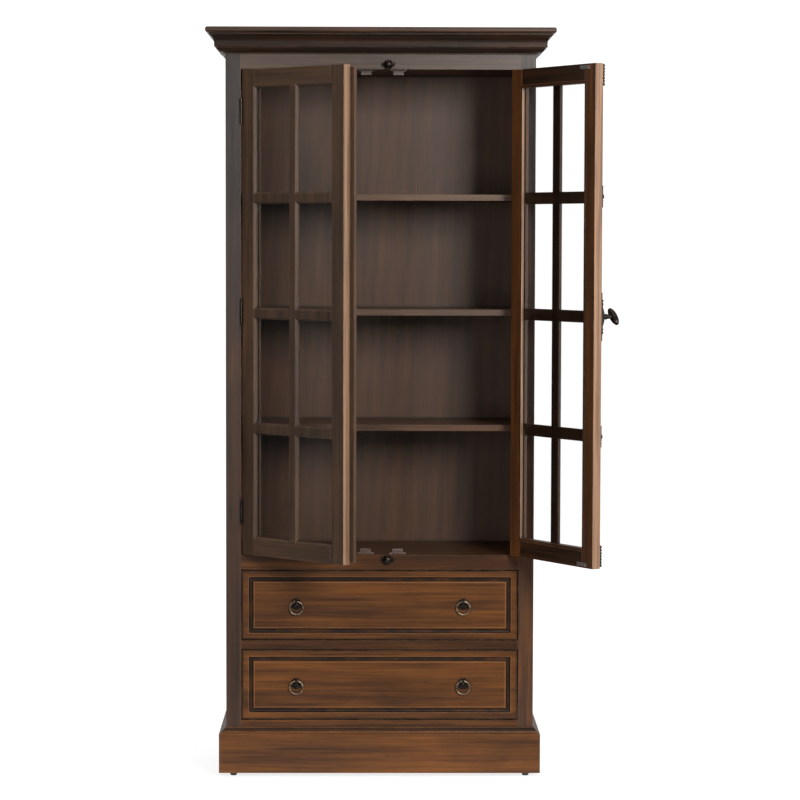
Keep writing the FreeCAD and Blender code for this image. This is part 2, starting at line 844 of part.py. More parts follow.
def hinges(side, sign):
    """Three butt hinges: five knuckles each, three on the cabinet's leaf and two on the door's."""
    knuckle_tall = f"((hinge_height - {KNUCKLES - 1} * knuckle_gap) / {KNUCKLES})"
    axis_x = f"({-sign} * {HINGE_OFFSET})"
    axis_y = f"({FRONT} - hinge_standoff)"
    leaf_start = "(door_gap / 2 - leaf_thick)"
    leaf_y = "(hinge_standoff + leaf_setback)"
    cabinet_leaves = []
    door_leaves = []
    for level in HINGE_LEVELS:
        name = f"{side}_{level}"
        base = f"({level} - hinge_height / 2)"
        fixed = [f"{name}_cabinet", axis_x, axis_y, -sign]
        swung = [f"{name}_door", "0", "0", sign]
        leaves = []
        for label, x, y, toward in (fixed, swung):
            plate_x = f"{x} + {across(toward, leaf_start, 'leaf_thick')}"
            plate_y = f"{y} + {leaf_y}"
            plate_size = ("leaf_thick", "leaf_depth", "hinge_height")
            parts = [block(label + "_plate", plate_x, plate_y, base, *plate_size)]
            first = 0 if label == fixed[0] else 1
            for number in range(first, KNUCKLES, 2):
                z = f"({base} + {number} * ({knuckle_tall} + knuckle_gap))"
                parts.append(rod(f"{label}_knuckle_{number}", x, y, z, "knuckle_radius", knuckle_tall))
                parts.append(
                    block(f"{label}_web_{number}", plate_x, y, z, "leaf_thick", leaf_y, knuckle_tall)
                )
            gap = "0" if label == fixed[0] else "running_gap"
            bore = rod(label + "_bore", x, y, base, f"hinge_pin_radius + {gap}", "hinge_height")
            leaves.append(cut(label, fused(label + "_solid", *parts), bore))
        shank = rod(name + "_shank", axis_x, axis_y, base, "hinge_pin_radius", "hinge_height")
        heads = []
        for end, z in (("lower", f"{base} - pin_head_thick"), ("upper", f"{base} + hinge_height")):
            heads.append(
                rod(f"{name}_{end}_head", axis_x, axis_y, z, "pin_head_radius", "pin_head_thick")
            )
        cabinet_leaves += [leaves[0], fused(name + "_pin", shank, *heads)]
        door_leaves.append(leaves[1])
    door_piece(side, f"{side}_door_hinge_leaves", *door_leaves)
    return cabinet_leaves


def strikes(side, sign):
    """Steel plates on the door's back that the magnetic catches hold."""
    plates = []
    start = f"({HINGE_OFFSET} - {side}_catch_offset - strike_width / 2)"
    for end, middle in (
        ("bottom", f"{DOOR_BASE} + strike_inset"),
        ("top", f"{DOOR_TOP} - strike_inset"),
    ):
        name = f"{side}_{end}_strike"
        base = f"{middle} - strike_height / 2"
        plates.append(
            door_block(name, sign, start, DOOR_BACK, base, "strike_width", "strike_thick", "strike_height")
        )
    door_piece(side, f"{side}_door_strikes", *plates)


def astragal():
    """A lath on the left door's back that the right door closes against, relieved where it laps."""
    tall = f"({DOOR_TOP} - {DOOR_BASE} - 2 * astragal_end_gap)"
    base = f"({DOOR_BASE} + astragal_end_gap)"
    start = f"{DOOR_FAR} + astragal_reach - astragal_width"
    lath = block("astragal_lath", start, DOOR_BACK, base, "astragal_width", "astragal_thick", tall)
    relief = block(
        "astragal_relief_cut",
        DOOR_FAR,
        DOOR_BACK,
        base,
        "astragal_reach",
        "astragal_relief",
        tall,
    )
    door_piece("left", "left_door_astragal", cut("astragal", lath, relief))


# ---------------------------------------------------------- bolt on the door

BOLT_X = f"(-{ROD_ACROSS})"
BOLT_Y = f"({DOOR_FACE} - rod_standoff)"

# Each rack's teeth, counted from the pinion's level towards the rack's free end.
RACK_TEETH = range(-1, 4)

# The rack and the pinion lie behind the rods, close to the door's face.
RACK_Y = f"({DOOR_FACE} - rack_plane)"

# The beads on the turned sleeves, from the bottom up: each one's length and how far it stands out.
BULB = (8, "bulb_rise")
SMALL_BEAD = (7, "bead_rise")
END_GUIDE_BEADS = (BULB,) * 7
MIDDLE_GUIDE_BEADS = (SMALL_BEAD,) * 3 + ((14, "bulb_rise"),) + (SMALL_BEAD,) * 3
CASE_END_BEADS = ((9, "bulb_rise"), BULB, (5, "bead_rise"), (6, "bead_rise"), (6, "bead_rise"))


def baluster(name, middle, beads, bore):
    """A turned sleeve round the rod: the beads, one above another."""
    half = sum(length for length, rise in beads) / 2
    corners = [(bore, -half), ("guide_waist", -half)]
    level = -half
    for length, rise in beads:
        level += length
        radius = f"(({length} / 2)^2 + {rise}^2) / (2 * {rise})"
        corners.append(("guide_waist", level, radius, -1))
    corners.append((bore, half))
    return place(revolution(name, corners), BOLT_X, BOLT_Y, middle)


def behind_door_face(name, middle, tall):
    """The space behind the door's face, which the sleeves are cut back from."""
    wide = "4 * guide_waist"
    return block(
        name, f"{BOLT_X} - {wide} / 2", DOOR_FACE, f"{middle} - {tall} / 2", wide, "4 * guide_waist", tall
    )


def bolt_guides():
    """Four beaded sleeves on small plates that keep the rods against the door."""
    bore = "(rod_radius + rod_clearance)"
    guides = []
    for level, beads in (
        ("top_guide", END_GUIDE_BEADS),
        ("upper_guide", MIDDLE_GUIDE_BEADS),
        ("lower_guide", MIDDLE_GUIDE_BEADS),
        ("bottom_guide", END_GUIDE_BEADS),
    ):
        middle = f"{level}_level"
        sleeve = baluster(level + "_sleeve", middle, beads, bore)
        flush = cut(level + "_flush", sleeve, behind_door_face(level + "_door", middle, "2 * guide_length"))
        plate = block(
            level + "_plate",
            f"{BOLT_X} - guide_plate_width / 2",
            f"{DOOR_FACE} - guide_plate_thick",
            f"{middle} - guide_plate_height / 2",
            "guide_plate_width",
            "guide_plate_thick",
            "guide_plate_height",
        )
        way = rod(
            level + "_way", BOLT_X, BOLT_Y, f"{middle} - guide_length / 2", bore, "guide_length"
        )
        guides.append(cut(level, fused(level + "_solid", flush, plate), way))
    door_piece("right", "bolt_guides", *guides)


def bolt_case():
    """The hollow case over the pinion: a domed shell, a boss for the knob and a beaded sleeve at each end."""
    bore = "(rod_radius + rod_clearance)"
    turned = ((1, 0, 0), 90)
    wide, tall, corner = "case_half_width", "case_half_height", "case_corner"
    rounded = [
        (f"{wide} - {corner}", f"-{tall}"),
        (wide, f"{corner} - {tall}", corner, -1),
        (wide, f"{tall} - {corner}"),
        (f"{wide} - {corner}", tall, corner, -1),
        (f"{corner} - {wide}", tall),
        (f"-{wide}", f"{tall} - {corner}", corner, -1),
        (f"-{wide}", f"{corner} - {tall}"),
        (f"{corner} - {wide}", f"-{tall}", corner, -1),
    ]
    shell = place(extrusion("case_shell", "XZ_Plane", rounded, "case_depth"), BOLT_X, DOOR_FACE, "bolt_level")
    dome = doc.addObject("Part::Ellipsoid", "case_dome")
    bind(dome, Radius1="dome_half_height", Radius2="dome_half_width", Radius3="dome_rise")
    place(dome, BOLT_X, DOOR_FACE, "bolt_level")
    boss = cone(
        "case_boss",
        BOLT_X,
        f"{DOOR_FACE} - case_depth",
        "bolt_level",
        "boss_base_radius",
        "boss_tip_radius",
        "dome_rise + boss_height - case_depth",
        *turned,
    )
    ends = []
    for end, sign in (("upper", 1), ("lower", -1)):
        middle = f"(bolt_level + {sign} * (sleeve_start + sleeve_length / 2))"
        sleeve = baluster(f"case_{end}_sleeve", middle, CASE_END_BEADS[::sign], bore)
        behind = behind_door_face(f"case_{end}_door", middle, "2 * sleeve_length")
        ends.append(cut(f"case_{end}_flush", sleeve, behind))
    dome_back = block(
        "case_dome_back",
        f"{BOLT_X} - 2 * dome_half_width",
        DOOR_FACE,
        "bolt_level - 2 * dome_half_height",
        "4 * dome_half_width",
        "2 * dome_rise",
        "4 * dome_half_height",
    )
    hollow = block(
        "case_hollow",
        f"{BOLT_X} - case_half_width + case_wall",
        f"{DOOR_FACE} - case_depth + case_front_wall",
        "bolt_level - case_half_height + case_wall",
        "2 * (case_half_width - case_wall)",
        "case_depth - case_front_wall",
        "2 * (case_half_height - case_wall)",
    )
    whole = "2 * (sleeve_start + sleeve_length)"
    way = rod("case_way", BOLT_X, BOLT_Y, f"bolt_level - {whole} / 2", bore, whole)
    neck = rod(
        "case_neck",
        BOLT_X,
        DOOR_FACE,
        "bolt_level",
        "spindle_radius + spindle_bore_gap",
        "dome_rise + boss_height",
        *turned,
    )
    solid = fused("case_solid", shell, dome, boss, *ends)
    door_piece("right", "bolt_case", cut("case_cast", solid, dome_back, hollow, way, neck))


def bolt_knob():
    """An oval knob on a stem and spindle, which turns the pinion inside the case."""
    turned = ((1, 0, 0), 90)
    pinion_back = f"({RACK_Y} + pinion_thick / 2)"
    grip = doc.addObject("Part::Ellipsoid", "knob_grip")
    bind(grip, Radius1="knob_half_long", Radius2="knob_half_wide", Radius3="knob_half_deep")
    place(grip, BOLT_X, f"{DOOR_FACE} - knob_centre", "bolt_level", (0, 1, 0), "knob_tilt")
    case_front = "(dome_rise + boss_height + knob_gap)"
    stem = cone(
        "knob_stem",
        BOLT_X,
        f"{DOOR_FACE} - {case_front}",
        "bolt_level",
        "stem_base_radius",
        "stem_tip_radius",
        f"knob_centre - {case_front}",
        *turned,
    )
    spindle = rod(
        "knob_spindle",
        BOLT_X,
        pinion_back,
        "bolt_level",
        "spindle_radius",
        f"{case_front} - rack_plane + pinion_thick / 2",
        *turned,
    )
    door_piece("right", "bolt_knob", fused("knob_cast", grip, stem, spindle))
    blank = rod(
        "pinion_blank",
        BOLT_X,
        pinion_back,
        "bolt_level",
        "pinion_root",
        "pinion_thick",
        *turned,
    )
    teeth = [blank]
    for number in range(DIMENSIONS["pinion_teeth"]):
        profile = [
            ("pinion_root - pinion_tooth_seat", "-tooth_base / 2"),
            ("pinion_tip", "-tooth_tip / 2"),
            ("pinion_tip", "tooth_tip / 2"),
            ("pinion_root - pinion_tooth_seat", "tooth_base / 2"),
        ]
        tooth = extrusion(f"pinion_tooth_{number}", "XZ_Plane", profile, "pinion_thick")
        place(tooth, BOLT_X, pinion_back, "bolt_level", (0, 1, 0), f"{number} * 360 / pinion_teeth")
        teeth.append(tooth)
    bore = rod(
        "pinion_bore",
        BOLT_X,
        pinion_back,
        "bolt_level",
        "spindle_radius",
        "pinion_thick",
        *turned,
    )
    door_piece("right", "bolt_pinion", cut("pinion", fused("pinion_solid", *teeth), bore))


def bolt_rods():
    """Upper and lower rods, each with a rack beside the pinion: one rises as the other drops."""
    half = "(pinion_thick / 2)"
    for name, way in (("upper", 1), ("lower", -1)):
        upward = f"{DOOR_TOP} - rod_end_gap - bolt_level - rod_start"
        downward = f"bolt_level - rod_start - {DOOR_BASE} - rod_end_gap"
        reach = upward if way > 0 else downward
        start = "bolt_level + rod_start" if way > 0 else f"bolt_level - rod_start - ({reach})"
        shaft = rod(name + "_shaft", BOLT_X, BOLT_Y, start, "rod_radius", reach)
        jog_x = f"{BOLT_X} - riser_half" if way > 0 else f"{BOLT_X} - rack_back"
        jog_z = "bolt_level + rod_start" if way > 0 else "bolt_level - rod_start - jog_tall"
        jog = block(
            name + "_jog",
            jog_x,
            f"{RACK_Y} - {half}",
            jog_z,
            "riser_half + rack_back",
            "pinion_thick",
            "jog_tall",
        )
        riser = block(
            name + "_riser",
            f"{BOLT_X} - riser_half",
            BOLT_Y,
            jog_z,
            "2 * riser_half",
            f"rod_standoff - rack_plane + {half}",
            "jog_tall",
        )
        bar_x = f"{BOLT_X} + rack_root" if way > 0 else f"{BOLT_X} - rack_back"
        bar_z = "bolt_level - rack_reach" if way > 0 else "bolt_level - rod_start - jog_tall"
        bar = block(
            name + "_bar",
            bar_x,
            f"{RACK_Y} - {half}",
            bar_z,
            "rack_back - rack_root",
            "pinion_thick",
            "rack_reach + rod_start + jog_tall",
        )
        parts = [shaft, riser, jog, bar]
        for number, step in enumerate(RACK_TEETH):
            middle = f"(bolt_level - {way} * (0.5 + {step}) * rack_step)"
            profile = [
                (f"{way} * (rack_root + rack_tooth_seat)", "-tooth_base / 2"),
                (f"{way} * rack_tip", "-tooth_tip / 2"),
                (f"{way} * rack_tip", "tooth_tip / 2"),
                (f"{way} * (rack_root + rack_tooth_seat)", "tooth_base / 2"),
            ]
            tooth = extrusion(f"{name}_rack_tooth_{number}", "XZ_Plane", profile, "pinion_thick")
            parts.append(place(tooth, BOLT_X, f"{RACK_Y} + {half}", middle))
        door_piece("right", name + "_bolt_rod", fused(name + "_rod_solid", *parts))


# ------------------------------------------------------------------ drawers


def drawer(name, opening_base):
    """A drawer with a moulded front, plain sides and back, and a thin bottom."""
    base = f"({opening_base} + drawer_gap)"
    half_front = f"({HALF_OPENING} - drawer_gap)"
    tall = "(drawer_opening - 2 * drawer_gap)"
    board = block(
        name + "_front_board", f"-{half_front}", FRONT, base, f"2 * {half_front}", "drawer_front_thick", tall
    )
    steps = []
    for label, profile in (("groove", GROOVE_STEPS), ("panel", PANEL_STEPS)):
        for number in range(1, len(profile)):
            slices = []
            for inset, depth in sorted(profile[number - 1 : number + 1], key=lambda step: step[1]):
                edge = f"({half_front} - drawer_rim - {inset})"
                low = f"{base} + drawer_rim + {inset}"
                high = f"{base} + {tall} - drawer_rim - {inset}"
                slices.append((f"{FRONT} + {depth}", f"-{edge}", edge, low, high))
            steps.append((label, frustum(f"{name}_{label}_{number}", *slices)))
    shaped = board
    for number, (label, step) in enumerate(steps):
        if label == "groove":
            shaped = cut(f"{name}_front_step_{number}", shaped, step)
    raised = [step for label, step in steps if label == "panel"]
    shaped = fused(name + "_front_raised", shaped, *raised)
    piece(name + "_front", shaped)

    box_front = f"({FRONT} + drawer_front_thick)"
    box_back = f"({BACK_PANEL_FRONT} - drawer_back_gap)"
    side_base = f"({opening_base} + drawer_side_lift)"
    inner = "(drawer_half_width - drawer_side_thick)"
    long = f"({box_back} - {box_front})"
    walls = []
    for side, low in (("left", "-drawer_half_width"), ("right", inner)):
        walls.append(
            block(
                f"{name}_{side}_wall",
                low,
                box_front,
                side_base,
                "drawer_side_thick",
                long,
                "drawer_side_height",
            )
        )
    walls.append(
        block(
            f"{name}_back_wall",
            f"-{inner}",
            f"{box_back} - drawer_side_thick",
            side_base,
            f"2 * {inner}",
            "drawer_side_thick",
            "drawer_side_height",
        )
    )
    piece(name + "_walls", *walls)
    bottom = block(
        f"{name}_bottom_board",
        f"-{inner}",
        box_front,
        f"{side_base} + drawer_bottom_lift",
        f"2 * {inner}",
        f"{long} - drawer_side_thick",
        "drawer_bottom_thick",
    )
    piece(name + "_bottom", bottom)


def runners():
    """L-shaped hardwood runners on the side panels: a guide beside each drawer and a ledge under it."""
    lengths = []
    long = f"({BACK_PANEL_FRONT} - {CARCASS_FRONT} - runner_end_gap)"
    for name, opening_base in (("upper", UPPER_DRAWER_BASE), ("lower", LOWER_DRAWER_BASE)):
        ledge_tall = "(drawer_side_lift - runner_gap)"
        for side, sign in (("left", -1), ("right", 1)):
            label = f"{name}_{side}_runner"
            guide_start = "(drawer_half_width + 2 * runner_gap)"
            guide_wide = f"({INSIDE} - {guide_start})"
            ledge_start = "(drawer_half_width - runner_ledge)"
            ledge_wide = f"({INSIDE} - {ledge_start})"
            guide = block(
                label + "_guide",
                across(sign, guide_start, guide_wide),
                CARCASS_FRONT,
                opening_base,
                guide_wide,
                long,
                "runner_height",
            )
            ledge = block(
                label + "_ledge",
                across(sign, ledge_start, ledge_wide),
                CARCASS_FRONT,
                opening_base,
                ledge_wide,
                long,
                ledge_tall,
            )
            lengths.append(fused(label, guide, ledge))
    piece("drawer_runners", *lengths)


def pulls(name, opening_base):
    """Two ring pulls: a domed rosette with an eye, and a ring that hangs in the eye."""
    centre = f"({opening_base} + drawer_opening / 2 + pull_raise)"
    field = f"({FRONT} + {FIELD_DEPTH})"
    pivot_y = f"({field} - pivot_standoff)"
    pivot_z = f"({centre} + pivot_raise)"
    turned = ((1, 0, 0), 90)
    rosettes = []
    for side, sign in (("left", -1), ("right", 1)):
        label = f"{name}_{side}"
        x = f"({sign} * pull_offset)"
        disc = cone(
            label + "_disc",
            x,
            field,
            centre,
            "rosette_radius",
            "rosette_rim_radius",
            "rosette_thick",
            *turned,
        )
        dome = doc.addObject("Part::Sphere", label + "_dome")
        bind(dome, Radius="rosette_dome_radius")
        place(dome, x, f"{field} - rosette_thick / 2", centre)
        dome_cut = block(
            label + "_dome_cut",
            f"{x} - rosette_radius",
            field,
            f"{centre} - rosette_radius",
            "2 * rosette_radius",
            "rosette_radius",
            "2 * rosette_radius",
        )
        low_x = f"{x} - eye_width / 2"
        post = block(
            label + "_post",
            low_x,
            pivot_y,
            f"{pivot_z} - post_half_height",
            "eye_width",
            "pivot_standoff",
            "2 * post_half_height",
        )
        eye = rod(label + "_eye", low_x, pivot_y, pivot_z, "eye_radius", "eye_width", (0, 1, 0), 90)
        hole = rod(
            label + "_eye_hole",
            f"{x} - eye_width",
            pivot_y,
            pivot_z,
            "eye_hole_radius",
            "2 * eye_width",
            (0, 1, 0),
            90,
        )
        solid = fused(label + "_rosette_solid", disc, dome, post, eye)
        rosettes.append(cut(label + "_rosette", solid, dome_cut, hole))
        ring = doc.addObject("Part::Torus", label + "_ring")
        bind(ring, Radius1="ring_radius", Radius2="ring_wire_radius")
        place(ring, x, pivot_y, f"{pivot_z} - ring_radius", *turned)
        piece(f"{label}_pull_ring", ring)
    piece(f"{name}_pull_rosettes", *rosettes)


# ----------------------------------------------------------------- assembly

side_panels()
boards()
top_slab()
face_frame()
moulding("cornice", cornice_profile, "cove_reach", "cornice_base", f"({SLAB_BASE} - cornice_base)")
moulding("plinth", plinth_profile, "plinth_reach", "glide_height", "(plinth_top - glide_height)")
glides()
catches()
keepers()
cabinet_hinges = []
for door_side, door_sign in (("left", 1), ("right", -1)):
    door_frame(door_side, door_sign)
    door_glazing(door_side, door_sign)
    cabinet_hinges += hinges(door_side, door_sign)
    strikes(door_side, door_sign)
piece("cabinet_hinge_leaves", *cabinet_hinges)
astragal()
bolt_guides()
bolt_case()
bolt_knob()
bolt_rods()
runners()
for drawer_name, drawer_base in (
    ("upper_drawer", UPPER_DRAWER_BASE),
    ("lower_drawer", LOWER_DRAWER_BASE),
):
    drawer(drawer_name, drawer_base)
    pulls(drawer_name, drawer_base)

doc.recompute()
for feature in doc.Objects:
    faults = {"Invalid", "Error"} & set(feature.State)
    if faults:
        raise RuntimeError(f"{feature.Name} is {sorted(faults)}")
names = [feature.Label for feature in pieces]
if len(set(names)) != len(names):
    raise RuntimeError("two sub-parts share a name")
for feature in pieces:
    shape = feature.Shape
    if shape.isNull() or not shape.isValid() or not shape.Solids:
        raise RuntimeError(f"{feature.Label} has no valid solid")

os.makedirs("parts", exist_ok=True)
for feature in pieces:
    feature.Shape.exportStep(f"parts/{feature.Label}.step")
print(f"wrote {len(pieces)} sub-parts")
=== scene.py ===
import json
import math

import bmesh
import bpy
from mathutils import Matrix, Vector


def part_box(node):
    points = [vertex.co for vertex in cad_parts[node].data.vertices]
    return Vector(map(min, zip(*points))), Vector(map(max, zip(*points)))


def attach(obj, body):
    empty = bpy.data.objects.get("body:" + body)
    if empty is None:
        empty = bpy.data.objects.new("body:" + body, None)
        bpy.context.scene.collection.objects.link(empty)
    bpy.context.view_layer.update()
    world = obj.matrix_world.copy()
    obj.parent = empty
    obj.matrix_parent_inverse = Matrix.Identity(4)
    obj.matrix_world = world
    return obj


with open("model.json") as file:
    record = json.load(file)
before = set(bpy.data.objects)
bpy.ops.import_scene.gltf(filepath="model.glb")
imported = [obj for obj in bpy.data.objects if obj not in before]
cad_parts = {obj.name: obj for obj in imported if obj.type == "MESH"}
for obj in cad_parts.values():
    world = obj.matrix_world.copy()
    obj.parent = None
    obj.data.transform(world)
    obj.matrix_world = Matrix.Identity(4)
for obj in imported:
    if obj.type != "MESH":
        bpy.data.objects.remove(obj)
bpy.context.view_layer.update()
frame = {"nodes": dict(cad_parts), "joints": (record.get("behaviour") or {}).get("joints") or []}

NODES = frame["nodes"]
JOINTS = {joint["name"]: joint for joint in frame["joints"]}
MM = 0.001

# How far each door stands open at rest, as an angle about +Z.
DOOR_TURN = {
    "left_door": math.radians(JOINTS["left_door_hinge"]["range_deg"][0]),
    "right_door": math.radians(-JOINTS["right_door_hinge"]["range_deg"][0]),
}


# ---------------------------------------------------------------- node trees

class Shader:
    """One material and the nodes added to it."""

    def __init__(self, name):
        self.material = bpy.data.materials.new(name)
        self.material.use_nodes = True
        self.tree = self.material.node_tree
        self.tree.nodes.clear()

    def add(self, kind, settings=None, **inputs):
        """A node of that kind. An input takes a value or another node's output."""
        node = self.tree.nodes.new("ShaderNode" + kind)
        for key, value in (settings or {}).items():
            setattr(node, key, value)
        for key, value in inputs.items():
            self.feed(node, key.replace("_", " "), value)
        return node

    def feed(self, node, key, value):
        socket = node.inputs[int(key) if key.isdigit() else key]
        if isinstance(value, bpy.types.NodeSocket):
            self.tree.links.new(value, socket)
        else:
            socket.default_value = value

    def math(self, operation, *values, clamp=False):
        node = self.add("Math", {"operation": operation, "use_clamp": clamp})
        for i, value in enumerate(values):
            self.feed(node, str(i), value)
        return node.outputs[0]

    def mix(self, factor, a, b, blend="MIX"):
        """Colour a turned into b by factor."""
        node = self.add("Mix", {"data_type": "RGBA", "blend_type": blend})
        self.feed(node, "0", factor)
        self.feed(node, "6", a)
        self.feed(node, "7", b)
        return node.outputs[2]

    def ramp(self, factor, stops):
        """Colour along the stops, each (place, (r, g, b))."""
        node = self.add("ValToRGB", Fac=factor)
        elements = node.color_ramp.elements
        while len(elements) < len(stops):
            elements.new(1.0)
        for element, (place, colour) in zip(elements, stops):
            element.position = place
            element.color = (*colour, 1)
        return node.outputs["Color"]

    def spread(self, value, low, high, to_low=0.0, to_high=1.0):
        node = self.add("MapRange", {"clamp": True, "interpolation_type": "SMOOTHSTEP"}, Value=value)
        for i, number in enumerate((low, high, to_low, to_high), 1):
            self.feed(node, str(i), number)
        return node.outputs[0]

    def noise(self, vector, size, scale=1.0, detail=3.0, roughness=0.5, distortion=0.0):
        """Noise stretched by size along X, Y and Z."""
        placed = self.add("Mapping", {"vector_type": "POINT"}, Vector=vector, Scale=size)
        return self.add("TexNoise", Vector=placed.outputs[0], Scale=scale, Detail=detail,
                        Roughness=roughness, Distortion=distortion).outputs[0]

    def edge(self, radius):
        """How much the surface turns within radius: 0 on a flat face, near 1 on a sharp edge."""
        soft = self.add("Bevel", {"samples": 6}, Radius=radius).outputs[0]
        flat = self.add("NewGeometry").outputs["Normal"]
        dot = self.add("VectorMath", {"operation": "DOT_PRODUCT"})
        self.feed(dot, "0", soft)
        self.feed(dot, "1", flat)
        return self.math("SUBTRACT", 1.0, dot.outputs["Value"], clamp=True), soft

    def finish(self, shader):
        out = self.add("OutputMaterial")
        self.tree.links.new(shader, out.inputs["Surface"])
        return self.material


# ---------------------------------------------------------------- finishes

GRAIN_TURN = {                      # turns the grain's own direction onto the texture's X
    "x": (0, 0, 0),
    "y": (0, 0, -math.pi / 2),
    "z": (0, math.pi / 2, 0),
}
# GLAZE_AND_SHADE is the near black of the glaze in the grain, and also serves as painted shade in corners, coves
# and moulding grooves.
GLAZE_AND_SHADE = (0.010, 0.0055, 0.0035)
WALNUT = (0.060, 0.0225, 0.0078)
HONEY = (0.195, 0.068, 0.0135)
# WORN_AND_LIT is worn pale wood on rubbed edges, and also a painted highlight on the doors' lit leading edges.
WORN_AND_LIT = (0.42, 0.24, 0.14)
# CREST_HIGHLIGHT is a painted highlight on the crests of a moulded front's groove.
CREST_HIGHLIGHT = (0.34, 0.155, 0.065)
GREYED_GRAIN = (0.14, 0.082, 0.048)
GREYED_STAIN = (0.066, 0.041, 0.027)

MOULDING_SHADE_AND_HIGHLIGHT = (                      # painted shade and highlight lines on a moulded front: mm in from its rim to start and end, strength, colour
    (-5.0, 3.0, 0.75, GLAZE_AND_SHADE),
    (15.2, 17.2, 0.30, CREST_HIGHLIGHT),
    (17.2, 28.5, 0.92, GLAZE_AND_SHADE),
    (30.6, 32.2, 0.50, CREST_HIGHLIGHT),
)


def moulded_edge(s, place, stain, low, high):
    """Painted shade at the rim and in the groove of a moulded front, and painted highlights on the groove's
    crests.
    """
    apart = s.add("SeparateXYZ")
    s.feed(apart, "0", place)
    insets = []
    for axis in (0, 2):
        middle, half = (low[axis] + high[axis]) / 2, (high[axis] - low[axis]) / 2
        off = s.math("ABSOLUTE", s.math("SUBTRACT", apart.outputs[axis], middle))
        insets.append(s.math("SUBTRACT", half, off))
    inset = s.math("MINIMUM", *insets)
    front = s.spread(apart.outputs[1], low[1] + 7 * MM, low[1] + 9 * MM, 1.0, 0.0)
    patchy = s.noise(place, (26, 26, 26), detail=3.0)
    for start, end, strength, colour in MOULDING_SHADE_AND_HIGHLIGHT:
        rise = s.spread(inset, (start - 1.2) * MM, (start + 0.8) * MM)
        fall = s.spread(inset, (end - 0.8) * MM, (end + 1.2) * MM, 1.0, 0.0)
        band = s.math("MULTIPLY", s.math("MULTIPLY", rise, fall), front)
        amount = s.math("MULTIPLY", band, s.spread(patchy, 0.3, 0.6, 0.55 * strength, strength))
        stain = s.mix(amount, stain, (*colour, 1))
    return stain


